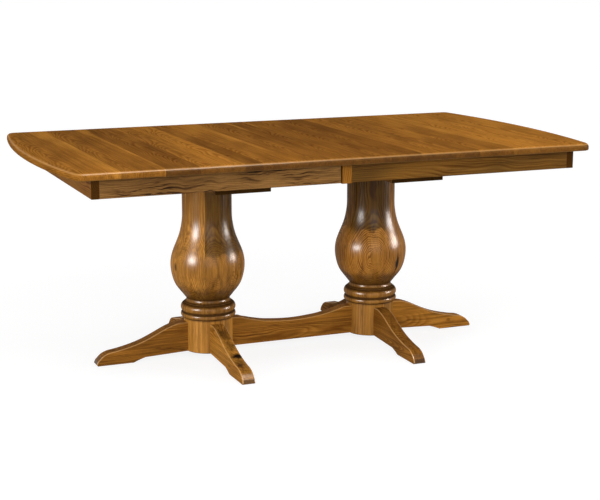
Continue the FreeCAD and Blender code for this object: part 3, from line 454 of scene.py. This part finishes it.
def stained_hickory(name, lay, grain_axis, coat, edges=None, tones=None, tilt=0.06, ring=1.0, line=1.0,
                    wander=(1.0, 1.0), band=0.12, fibres=0.14, streaks=(0.3, 0.60, 1.0), ends=(0.55, 0.95),
                    sway=0.0, hollow_shade=(), knots_and_shade=()):
    """Rustic hickory, planed or turned, stained medium brown and sprayed with satin lacquer.

    It gives the eye boards of uneven tone with cathedral figure, pale sapwood edges, dark mineral
    streaks and a knot here and there, under a soft sheen.

    lay gives each place its board. edges are the side that rubbed edges turn to, how much wear and painted
    highlight they get, and their coat. tilt is how far the pith runs askew, ring how wide the growth rings
    are, line how dark, and wander the size and the amount of their wandering. band and fibres are how much
    these show. streaks are how dark, where in the noise they begin, and how broad. ends are how far a face
    turns to the grain axis where it begins to show darker end grain and where it does fully; on the columns
    they reach so far round the turned faces that this also paints shade on the beads and at the waist.
    sway is how far wild grain swings, in mm."""
    colours = bpy.context.scene.table_colours
    sizes = bpy.context.scene.table_grain
    material, add = new_material(name)
    coordinates = add("TexCoord")
    normal = coordinates.outputs["Normal"]
    mm = add("VectorMath", {0: coordinates.outputs["Object"], "Scale": MM}, operation="SCALE")
    across, through, along, depth, tone, turning, soaked = lay(add, mm)
    depth = add("Math", {0: depth, 1: MM}, operation="MULTIPLY")
    ring_width = sizes.ring * MM

    def turned_to(axis):
        dot = add("VectorMath", {0: normal, 1: axis}, operation="DOT_PRODUCT")
        return add("Math", {0: dot.outputs["Value"]}, operation="ABSOLUTE")

    # each board's figure starts elsewhere in the noise
    moved = add("Math", {0: depth, 1: BOARD_SHIFT, 2: along}, operation="MULTIPLY_ADD")
    waves = add("TexNoise", {"W": moved, "Scale": 1 / SWAY_LENGTH, "Detail": 2.0}, noise_dimensions="1D")
    bent = add("Math", {0: waves, 1: sway, 2: across}, operation="MULTIPLY_ADD")
    place = add("CombineXYZ", {0: bent, 1: through, 2: moved})

    # growth rings: distance from a pith that runs a little askew to the board, pushed aside by each knot and
    # patch of painted shade
    wander_size, wander_amount = wander
    spread = stretched(add, place, sizes.wander_across * wander_size, sizes.wander_along * wander_size)
    drift = add("TexNoise", {"Vector": spread, "Scale": 1.0, "Detail": 2.0, "Roughness": 0.45})
    furthest = sizes.wander * MM * 2 * wander_amount
    drift = add("MapRange", {0: drift, 3: -furthest, 4: furthest})
    rise = add("Math", {0: along, 1: tilt, 2: depth}, operation="MULTIPLY_ADD")
    under = add("Math", {0: through, 1: rise}, operation="ADD")
    section = add("CombineXYZ", {0: across, 1: under})
    radius = add("VectorMath", {0: section}, operation="LENGTH").outputs["Value"]
    radius = add("Math", {0: radius, 1: drift}, operation="ADD")
    dark = knot_and_shade_darkness(add, mm, knots_and_shade)
    if dark is not None:
        radius = add("Math", {0: dark, 1: ring_width * KNOT_PUSH, 2: radius}, operation="MULTIPLY_ADD")
    grown = radius
    if turning:
        # rings widen away from a bulb's face, so that its figure is about evenly spaced
        bulb = BULB_RADIUS * MM
        grown = add("Math", {0: radius, 1: rise}, operation="SUBTRACT")
        grown = add("Math", {0: grown, 1: bulb}, operation="ADD")
        grown = add("Math", {0: grown, 1: bulb * BULB_SPACING}, operation="MULTIPLY")
        grown = add("Math", {0: grown}, operation="SQRT")
    years = add("Math", {0: grown, 1: ring_width * ring}, operation="DIVIDE")
    uneven = add("TexNoise", {"W": years, "Scale": UNEVEN_PACE, "Detail": 1.0}, noise_dimensions="1D")
    years = add("Math", {0: uneven, 1: UNEVEN_YEARS, 2: years}, operation="MULTIPLY_ADD")
    season = add("Math", {0: years}, operation="FRACT")
    late = add("ValToRGB", {0: season}, stops=greys(HICKORY_YEAR))
    cluster = add("TexNoise", {"Vector": spread, "Scale": CLUSTERS, "Detail": 1.0})
    begins, full, elsewhere = LINE_PATCHES
    patch = add("MapRange", {0: cluster, 1: begins, 2: full, 3: elsewhere * line, 4: line})
    late = add("Math", {0: late, 1: patch}, operation="MULTIPLY")
    if turning:
        # the hub and the beads are sanded round, which leaves their lines fainter
        low, high, left = HUB_FADE
        faint = add("MapRange", {0: along, 1: low, 2: high, 3: left})
        late = add("Math", {0: late, 1: faint}, operation="MULTIPLY")

    # bands, fibres, pores and mineral streaks run along the grain
    fine = {"Scale": 1.0, "Detail": 3.0, "Roughness": 0.6}
    bands = add("TexNoise", {"Vector": stretched(add, place, sizes.band, sizes.band_along), **fine})
    fibre = add("TexNoise", {"Vector": stretched(add, place, sizes.fibre, sizes.fibre_along), **fine})
    pore = stretched(add, place, sizes.pore, sizes.pore_along)
    pore = add("TexNoise", {"Vector": pore, "Scale": 1.0, "Detail": 1.0})
    begins, full = PORE_LIMITS
    pore = add("MapRange", {0: pore, 1: begins, 2: full})
    amount, start, breadth = streaks
    streak = stretched(add, place, sizes.streak * breadth, sizes.streak_along * breadth)
    streak = add("TexNoise", {"Vector": streak, "Scale": 1.0, "Detail": 3.0, "Roughness": 0.55,
                              "Distortion": 0.8})
    streak = add("MapRange", {0: streak, 1: start, 2: start + STREAK_FADE, 4: amount},
                 interpolation_type="SMOOTHSTEP")
    begins, full, elsewhere = STREAK_PATCHES
    crowd = add("MapRange", {0: cluster, 1: begins, 2: full, 3: elsewhere})
    streak = add("Math", {0: streak, 1: crowd}, operation="MULTIPLY")

    # what lies over the board's own tone, from the wood outwards: share, colour and blend
    layers = []
    if turning:
        out = add("Math", {0: rise, 1: radius}, operation="SUBTRACT")
        layers.append((core_share(add, turning, out, across, along, drift), solid(colours.core), "MIX"))
    else:
        begins, full = (sizes.heart * MM + beyond for beyond in SAPWOOD_RIM)
        outer = add("MapRange", {0: radius, 1: begins, 2: full, 4: SAPWOOD_SHARE},
                    interpolation_type="SMOOTHSTEP")
        layers.append((outer, solid(colours.sapwood), "MIX"))
    layers.append((late, solid(colours.latewood), "MULTIPLY"))
    for noise, contrast in ((bands, band), (fibre, fibres)):
        shade = add("MapRange", {0: noise, 1: 0.25, 2: 0.75, 3: 1 - contrast, 4: 1 + contrast})
        layers.append((1.0, shade, "MULTIPLY"))
    layers.append((streak, solid(colours.mineral), "MIX"))
    filled = add("Math", {0: pore, 1: PORE_SHARE}, operation="MULTIPLY")
    layers.append((filled, solid(colours.mineral), "MIX"))
    # end grain darkens board ends; on the columns it also paints shade on the beads and at the waist
    begins, full = ends
    cut_and_shade = add("MapRange", {0: turned_to(grain_axis), 1: begins, 2: full, 4: soaked},
              interpolation_type="SMOOTHSTEP")
    layers.append((cut_and_shade, solid(colours.end_grain), "MULTIPLY"))
    # painted shade in the columns' turned grooves and at the bulb's waist, laid on in the dark mineral colour
    if hollow_shade:
        lowest, highest = hollow_shade[0][0], hollow_shade[-1][0]
        level = add("MapRange", {0: along, 1: lowest, 2: highest})
        rows = [((at - lowest) / (highest - lowest), share) for at, share in hollow_shade]
        layers.append((add("ValToRGB", {0: level}, stops=greys(rows)), solid(colours.mineral), "MIX"))
    # each knot and crack, and the patches of painted shade on the left front foot
    if dark is not None:
        layers.append((dark, solid(colours.knot), "MIX"))
    weight = coat
    if edges:
        # rounded edges are sanded paler, and the pale colour is also a painted highlight where they catch the
        # light;
        # they keep more lacquer than the rubbed faces, as the ends of boards do
        axis, rows, edge_coat = edges
        worn_and_highlit = add("ValToRGB", {0: turned_to(axis)}, stops=greys(rows))
        paler_and_highlit = add("Math", {0: worn_and_highlit, 1: WORN_AND_HIGHLIGHT_SHARE}, operation="MULTIPLY")
        layers.append((paler_and_highlit, solid(colours.edge), "MIX"))
        kept = add("Math", {0: cut_and_shade, 1: worn_and_highlit}, operation="MAXIMUM")
        weight = add("MapRange", {0: kept, 3: coat, 4: edge_coat})
    if turning:
        # dust dulls the lacquer on mouldings that face up
        begins, full, left = DUST
        upward = add("SeparateXYZ", {0: normal}).outputs["Z"]
        weight = add("MapRange", {0: upward, 1: begins, 2: full, 3: coat, 4: left})

    # colour, from the board's tone outwards
    cloud = add("TexNoise", {"Vector": spread, "Scale": CLOUDS, "Detail": 2.0})
    cloud = add("MapRange", {0: cloud, 1: 0.3, 2: 0.7, 3: -CLOUD_CONTRAST, 4: CLOUD_CONTRAST})
    tone = add("Math", {0: tone, 1: cloud}, operation="ADD", use_clamp=True)
    low, high = tones or (colours.dark_board, colours.light_board)
    paint = add("Mix", {0: tone, 6: solid(low), 7: solid(high)}, data_type="RGBA")
    for share, colour, blend in layers:
        paint = add("Mix", {0: share, 6: paint.outputs[2], 7: colour}, data_type="RGBA", blend_type=blend)

    # the lacquer levels most of the grain and leaves a faint relief
    relief = add("Math", {0: late, 1: LINE_RELIEF, 2: fibre}, operation="MULTIPLY_ADD")
    relief = add("Math", {0: pore, 1: PORE_RELIEF, 2: relief}, operation="MULTIPLY_ADD")
    bump = add("Bump", {"Height": relief, "Strength": 0.12, "Distance": GRAIN_RELIEF})
    satin = add("MapRange", {0: fibre, 1: 0.2, 2: 0.8, 3: SATIN_ROUGHNESS - SATIN_SPREAD,
                             4: SATIN_ROUGHNESS + SATIN_SPREAD})
    shader = add("BsdfPrincipled", {"Base Color": paint.outputs[2], "Roughness": satin, "Normal": bump,
                                    "Specular IOR Level": 0.0, "Coat Weight": weight,
                                    "Coat Roughness": LACQUER_ROUGHNESS, "Coat IOR": LACQUER_IOR})
    add("OutputMaterial", {0: shader})
    return material


def waxed_maple(name, axes, pale, line):
    """Plain hard wood for parts that slide or stay hidden, planed and waxed. Birch is drawn the same way.

    It gives the eye an even pale brown with fine lines along the grain and little sheen.
    axes names those across, through and along the grain."""
    sizes = bpy.context.scene.table_grain
    material, add = new_material(name)
    coordinates = add("TexCoord")
    mm = add("VectorMath", {0: coordinates.outputs["Object"], "Scale": MM}, operation="SCALE")
    spot = add("SeparateXYZ", {0: mm})
    across, through, along = (spot.outputs[letter] for letter in axes)
    place = add("CombineXYZ", {0: across, 1: through, 2: along})
    spread = stretched(add, place, sizes.wander_across, sizes.wander_along)
    drift = add("TexNoise", {"Vector": spread, "Scale": 1.0, "Detail": 2.0})
    rise = add("Math", {0: along, 1: MAPLE_TILT, 2: MAPLE_DEPTH}, operation="MULTIPLY_ADD")
    under = add("Math", {0: through, 1: rise}, operation="ADD")
    section = add("CombineXYZ", {0: across, 1: under})
    radius = add("VectorMath", {0: section}, operation="LENGTH").outputs["Value"]
    radius = add("Math", {0: drift, 1: sizes.wander * MM * 2, 2: radius}, operation="MULTIPLY_ADD")
    years = add("Math", {0: radius, 1: sizes.ring * MM}, operation="DIVIDE")
    season = add("Math", {0: years}, operation="FRACT")
    late = add("ValToRGB", {0: season}, stops=greys(MAPLE_YEAR))
    fine = stretched(add, place, sizes.fibre, sizes.fibre_along)
    fibre = add("TexNoise", {"Vector": fine, "Scale": 1.0, "Detail": 3.0})
    shade = add("MapRange", {0: fibre, 1: 0.25, 2: 0.75, 3: 0.82, 4: 1.14})
    paint = add("Mix", {0: late, 6: solid(pale), 7: solid(line)}, data_type="RGBA")
    paint = add("Mix", {0: 1.0, 6: paint.outputs[2], 7: shade}, data_type="RGBA", blend_type="MULTIPLY")
    bump = add("Bump", {"Height": fibre, "Strength": 0.2, "Distance": GRAIN_RELIEF})
    satin = add("MapRange", {0: fibre, 1: 0.2, 2: 0.8, 3: 0.5, 4: 0.64})
    shader = add("BsdfPrincipled", {"Base Color": paint.outputs[2], "Roughness": satin, "Normal": bump,
                                    "Specular IOR Level": 0.2})
    add("OutputMaterial", {0: shader})
    return material


def zinc_plated_steel(name):
    """Drawn steel rod and stamped plate with bright zinc.

    It gives the eye a cool grey with a mottled gloss."""
    colours = bpy.context.scene.table_colours
    material, add = new_material(name)
    place = add("TexCoord").outputs["Object"]
    spangle = add("TexVoronoi", {"Vector": place, "Scale": MM / SPANGLE})
    cloud = add("TexNoise", {"Vector": place, "Scale": MM / ZINC_CLOUD, "Detail": 4.0})
    mottle = add("Mix", {0: 0.5, 2: spangle.outputs["Distance"], 3: cloud}, data_type="FLOAT")
    shade = add("MapRange", {0: mottle, 1: 0.2, 2: 0.7, 3: 0.8, 4: 1.08})
    paint = add("Mix", {0: 1.0, 6: solid(colours.zinc), 7: shade}, data_type="RGBA", blend_type="MULTIPLY")
    satin = add("MapRange", {0: cloud, 1: 0.3, 2: 0.7, 3: 0.28, 4: 0.46})
    bump = add("Bump", {"Height": cloud, "Strength": 0.08, "Distance": SMOOTH_RELIEF})
    shader = add("BsdfPrincipled", {"Base Color": paint.outputs[2], "Metallic": 1.0, "Roughness": satin,
                                    "Normal": bump})
    add("OutputMaterial", {0: shader})
    return material


def moulded_nylon(name):
    """Injection-moulded nylon. It gives the eye a milky off-white with a fine matt grain."""
    colours = bpy.context.scene.table_colours
    material, add = new_material(name)
    place = add("TexCoord").outputs["Object"]
    grit = add("TexNoise", {"Vector": place, "Scale": MM / NYLON_GRIT, "Detail": 2.0})
    cloud = add("TexNoise", {"Vector": place, "Scale": MM / NYLON_CLOUD, "Detail": 2.0})
    shade = add("MapRange", {0: cloud, 1: 0.3, 2: 0.7, 3: 0.92, 4: 1.04})
    paint = add("Mix", {0: 1.0, 6: solid(colours.nylon), 7: shade}, data_type="RGBA", blend_type="MULTIPLY")
    satin = add("MapRange", {0: grit, 1: 0.3, 2: 0.7, 3: 0.42, 4: 0.55})
    bump = add("Bump", {"Height": grit, "Strength": 0.15, "Distance": SMOOTH_RELIEF})
    shader = add("BsdfPrincipled", {"Base Color": paint.outputs[2], "Roughness": satin, "Normal": bump,
                                    "IOR": NYLON_IOR})
    add("OutputMaterial", {0: shader})
    return material


def dress(material, *names):
    """Gives CAD pieces a finish in place of their plain one."""
    for name in names:
        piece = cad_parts[name]
        piece.data.materials.clear()
        piece.data.materials.append(material)


class TABLE_OT_top(bpy.types.Operator):
    """Crosswise boards of the two halves of the top"""
    bl_idname = "pedestal_table.top"
    bl_label = "Top"

    def execute(self, context):
        wood = stained_hickory("lacquered_hickory_top", boards_across, (0, 1, 0), coat=0.01,
                               edges=((0, 0, 1), TOP_WEAR_AND_HIGHLIGHT, 0.18), tilt=0.055, line=0.8, band=0.32,
                               fibres=0.2, ends=(0.5, 0.85))
        dress(wood, "left_top_panel", "right_top_panel")
        return {"FINISHED"}


class TABLE_OT_aprons(bpy.types.Operator):
    """Side and end aprons and the blocks at the split"""
    bl_idname = "pedestal_table.aprons"
    bl_label = "Aprons"

    def execute(self, context):
        colours = context.scene.table_colours
        sides = partial(single_boards, "ZYX", APRON_MIDDLE, APRON_FACE, SIDE_APRON_BOARDS)
        for side, tones, streaks, sway in (
                ("left", (colours.dark_apron, colours.light_apron), (1.0, 0.46, 0.42), 24.0),
                ("right", (colours.brown_apron, colours.light_board), (0.6, 0.54, 0.4), 6.0)):
            wood = stained_hickory(f"lacquered_hickory_{side}_apron", sides, (1, 0, 0), coat=0.06,
                                   tones=tones, tilt=0.03, band=0.3, streaks=streaks, sway=sway)
            dress(wood, f"{side}_front_apron", f"{side}_back_apron")
        ends = partial(single_boards, "ZXY", APRON_MIDDLE, END_APRON_FACE, END_APRON_BOARDS)
        wood = stained_hickory("lacquered_hickory_end_apron", ends, (0, 1, 0), coat=0.06, tilt=0.03)
        dress(wood, "left_end_apron", "right_end_apron")
        blocks = partial(single_boards, "XYZ", 0.0, APRON_FACE, SPLIT_BLOCK_BOARDS)
        wood = stained_hickory("lacquered_hickory_split_block", blocks, (0, 0, 1), coat=0.06, tilt=0.03,
                               streaks=(0.1, 0.60, 1.0))
        dress(wood, "front_split_block", "back_split_block")
        return {"FINISHED"}


class TABLE_OT_columns(bpy.types.Operator):
    """Turned columns, glued up from staves"""
    bl_idname = "pedestal_table.columns"
    bl_label = "Columns"

    def execute(self, context):
        colours = context.scene.table_colours
        sizes = context.scene.table_grain
        for side, centre, staves, core, knots_and_shade, hub, line, band in (
                ("left", -COLUMN_PLACE, LEFT_STAVES, sizes.left_core, LEFT_COLUMN_KNOTS, 0.0, 0.8, 0.5),
                ("right", COLUMN_PLACE, RIGHT_STAVES, sizes.right_core, RIGHT_COLUMN_CRACKS, 0.3, 1.7, 0.3)):
            lay = partial(staves_around, centre, staves, core)
            hollow_shade = [(level, hub) for level in HUB_LEVELS] + list(PAINTED_HOLLOW_SHADE)
            # ends reach far round the turned faces, so the end grain colour also paints shade on the beads
            # and the waist
            wood = stained_hickory(f"lacquered_hickory_{side}_column", lay, (0, 0, 1), coat=0.16,
                                   tones=(colours.dark_board, colours.light_stave), tilt=0.02, ring=1.4,
                                   line=line, wander=(0.4, 0.42), band=band, fibres=0.22,
                                   streaks=(0.5, 0.57, 0.6), ends=(0.30, 0.80), hollow_shade=hollow_shade, knots_and_shade=knots_and_shade)
            dress(wood, f"{side}_column")
        return {"FINISHED"}


class TABLE_OT_feet(bpy.types.Operator):
    """Feet of both pedestals and the stretcher between them"""
    bl_idname = "pedestal_table.feet"
    bl_label = "Feet and stretcher"

    def execute(self, context):
        colours = context.scene.table_colours
        lengthwise = partial(single_boards, "ZYX", FOOT_MIDDLE, FOOT_HALF_THICKNESS)
        crosswise = partial(single_boards, "ZXY", FOOT_MIDDLE, COLUMN_PLACE + FOOT_HALF_THICKNESS)
        wood = stained_hickory("lacquered_hickory_side_foot", partial(lengthwise, SIDE_FOOT_BOARDS),
                               (1, 0, 0), coat=0.05, edges=((0, 1, 0), FOOT_WEAR_AND_HIGHLIGHT, 0.6), tilt=0.05,
                               line=0.7, band=0.5, fibres=0.36, streaks=(0.7, 0.53, 0.45),
                               knots_and_shade=SIDE_FOOT_KNOTS)
        dress(wood, "left_side_foot", "right_side_foot")
        wood = stained_hickory("lacquered_hickory_stretcher", partial(lengthwise, STRETCHER_BOARDS),
                               (1, 0, 0), coat=0.05, edges=((0, 1, 0), FOOT_WEAR_AND_HIGHLIGHT, 0.25), tilt=0.02,
                               band=0.42, fibres=0.32, streaks=(0.55, 0.55, 0.5))
        dress(wood, "stretcher")
        wood = stained_hickory("lacquered_hickory_cross_foot", partial(crosswise, CROSS_FOOT_BOARDS),
                               (0, 1, 0), coat=0.05, edges=((1, 0, 0), FOOT_WEAR_AND_HIGHLIGHT, 0.4),
                               tones=(colours.dark_board, colours.light_stave), tilt=0.05, band=0.4,
                               fibres=0.32, streaks=(0.5, 0.55, 0.5), knots_and_shade=CROSS_FOOT_KNOTS_AND_SHADE)
        dress(wood, "left_front_foot", "left_back_foot", "right_front_foot", "right_back_foot")
        return {"FINISHED"}


class TABLE_OT_slides(bpy.types.Operator):
    """Bearers, slides, corner blocks and dowels under the top"""
    bl_idname = "pedestal_table.slides"
    bl_label = "Slides and blocks"

    def execute(self, context):
        colours = context.scene.table_colours
        lengthwise = waxed_maple("waxed_maple_slide", "ZYX", colours.maple, colours.maple_line)
        dress(lengthwise, "front_centre_rail", "rear_centre_rail", "left_front_runner", "left_rear_runner",
              "right_front_runner", "right_rear_runner")
        crosswise = waxed_maple("waxed_maple_block", "XZY", colours.maple, colours.maple_line)
        dress(crosswise, "left_corner_blocks", "right_corner_blocks", "left_slide_stops", "right_slide_stops")
        # the bearers are stained nearly black as painted shade for the shadow under the top
        bearer = partial(single_boards, "XZY", 0.0, BEARER_TOP, BEARER_BOARDS)
        wood = stained_hickory("shade_darkened_hickory_bearer", bearer, (0, 1, 0), coat=0.04,
                               tones=(colours.bearer, colours.core), tilt=0.03)
        dress(wood, "left_bearer", "right_bearer")
        raw = waxed_maple("raw_birch_dowel", "ZYX", colours.birch, colours.maple)
        dress(raw, "joint_dowels", "alignment_pins")
        return {"FINISHED"}


class TABLE_OT_hardware(bpy.types.Operator):
    """Steel and nylon parts"""
    bl_idname = "pedestal_table.hardware"
    bl_label = "Hardware"

    def execute(self, context):
        steel = zinc_plated_steel("zinc_plated_steel")
        dress(steel, "tie_rods", "tie_rod_washers", "tie_rod_nuts", "bearer_screws", "rail_screws",
              "pinion_axles", "left_racks", "right_racks", "left_runner_screws", "right_runner_screws",
              "lock_plates", "lock_plate_screws", "lock_keepers", "lock_keeper_screws",
              "front_lock_lever", "rear_lock_lever")
        nylon = moulded_nylon("moulded_nylon")
        dress(nylon, "foot_glides", "front_pinion", "rear_pinion")
        return {"FINISHED"}


def looked_at(add):
    """Whether a ray comes from the camera, straight or by a mirror or glass."""
    path = add("LightPath")
    seen = path.outputs["Is Camera Ray"]
    for way in ("Is Glossy Ray", "Is Transmission Ray"):
        seen = add("Math", {0: seen, 1: path.outputs[way]}, operation="MAXIMUM")
    return seen


class TABLE_OT_stage(bpy.types.Operator):
    """Floor, soft lamps, surroundings and camera"""
    bl_idname = "pedestal_table.stage"
    bl_label = "Stage"

    def execute(self, context):
        studio = context.scene.table_studio
        scene = context.scene
        scene.view_settings.view_transform = "Standard"
        white = solid(linear(WHITE))

        def hold(name, data):
            holder = bpy.data.objects.new(name, data)
            scene.collection.objects.link(holder)
            return holder

        def turn_to(holder, way):
            holder.rotation_euler = Vector(way).to_track_quat("-Z", "Y").to_euler()

        # floor: white to the eye and in reflections, with the shadow kept, and grey as light
        mesh = bpy.data.meshes.new("studio_floor")
        shape = bmesh.new()
        bmesh.ops.create_circle(shape, cap_ends=True, segments=FLOOR_SIDES, radius=studio.floor_reach)
        shape.to_mesh(mesh)
        shape.free()
        floor = hold("studio_floor", mesh)
        material, add = new_material("matt_white_floor_paint")
        bounce = add("BsdfDiffuse", {"Color": solid(linear(FLOOR_BOUNCE))})
        paint = add("BsdfDiffuse", {"Color": solid(linear(FLOOR_PAINT))})
        glow = add("Emission", {"Color": white, "Strength": FLOOR_GLOW})
        shown = add("AddShader", {0: paint, 1: glow})
        add("OutputMaterial", {0: add("MixShader", {0: looked_at(add), 1: bounce, 2: shown})})
        mesh.materials.append(material)

        # surroundings: white to the eye and in reflections, softer as light
        world = bpy.data.worlds.new("studio_surroundings")
        scene.world = world
        world.use_nodes = True
        world.node_tree.nodes.clear()
        add = partial(add_node, world.node_tree)
        soft = add("Background", {"Color": white, "Strength": SURROUNDING_LIGHT})
        shown = add("Background", {"Color": white, "Strength": 1.0})
        add("OutputWorld", {0: add("MixShader", {0: looked_at(add), 1: soft, 2: shown})})

        for name, way, level, spread, mirrored in LAMPS:
            lamp = bpy.data.lights.new(name, "SUN")
            lamp.energy = level * math.pi
            lamp.angle = math.radians(spread)
            holder = hold(name, lamp)
            turn_to(holder, way)
            holder.visible_glossy = mirrored

        columns = bpy.data.collections.new("turned_columns")
        for name in ("left_column", "right_column"):
            columns.objects.link(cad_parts[name])
        for name, place, (width, height), level, purpose in SOFTBOXES:
            lamp = bpy.data.lights.new(name, "AREA")
            lamp.shape = "RECTANGLE"
            lamp.size = width
            lamp.size_y = height
            lamp.energy = level * math.pi * width * height
            holder = hold(name, lamp)
            holder.location = place
            turn_to(holder, Vector(SOFTBOX_AIM) - Vector(place))
            if purpose == "columns":
                holder.light_linking.receiver_collection = columns
            holder.visible_diffuse = purpose == "wood"
            holder.visible_glossy = purpose != "wood"
            holder.visible_camera = False

        camera = bpy.data.cameras.new("photo_camera")
        camera.sensor_width = SENSOR
        camera.lens = studio.focus_pixels / PICTURE_WIDTH * SENSOR
        camera.clip_end = FAR_LIMIT
        holder = hold("photo_camera", camera)
        holder.location = studio.camera_place
        holder.rotation_euler = studio.camera_turn
        scene.camera = holder
        return {"FINISHED"}


OPERATORS = (TABLE_OT_top, TABLE_OT_aprons, TABLE_OT_columns, TABLE_OT_feet, TABLE_OT_slides,
             TABLE_OT_hardware, TABLE_OT_stage)


class TABLE_PT_panel(bpy.types.Panel):
    """Lists the table's operators with their colours and sizes"""
    bl_idname = "TABLE_PT_panel"
    bl_label = "Pedestal table"
    bl_space_type = "VIEW_3D"
    bl_region_type = "UI"
    bl_category = "Table"

    def draw(self, context):
        for operator in OPERATORS:
            self.layout.operator(operator.bl_idname)
        for group, kind in GROUPS.items():
            box = self.layout.box()
            for key in kind.__annotations__:
                box.prop(getattr(context.scene, group), key)


CLASSES = (*GROUPS.values(), *OPERATORS, TABLE_PT_panel)


def register():
    for kind in CLASSES:
        bpy.utils.register_class(kind)
    for group, kind in GROUPS.items():
        setattr(bpy.types.Scene, group, PointerProperty(type=kind))


def unregister():
    for group in GROUPS:
        delattr(bpy.types.Scene, group)
    for kind in reversed(CLASSES):
        bpy.utils.unregister_class(kind)


def main():
    register()
    bpy.ops.pedestal_table.top()
    bpy.ops.pedestal_table.aprons()
    bpy.ops.pedestal_table.columns()
    bpy.ops.pedestal_table.feet()
    bpy.ops.pedestal_table.slides()
    bpy.ops.pedestal_table.hardware()
    bpy.ops.pedestal_table.stage()


if __name__ == "__main__":
    main()
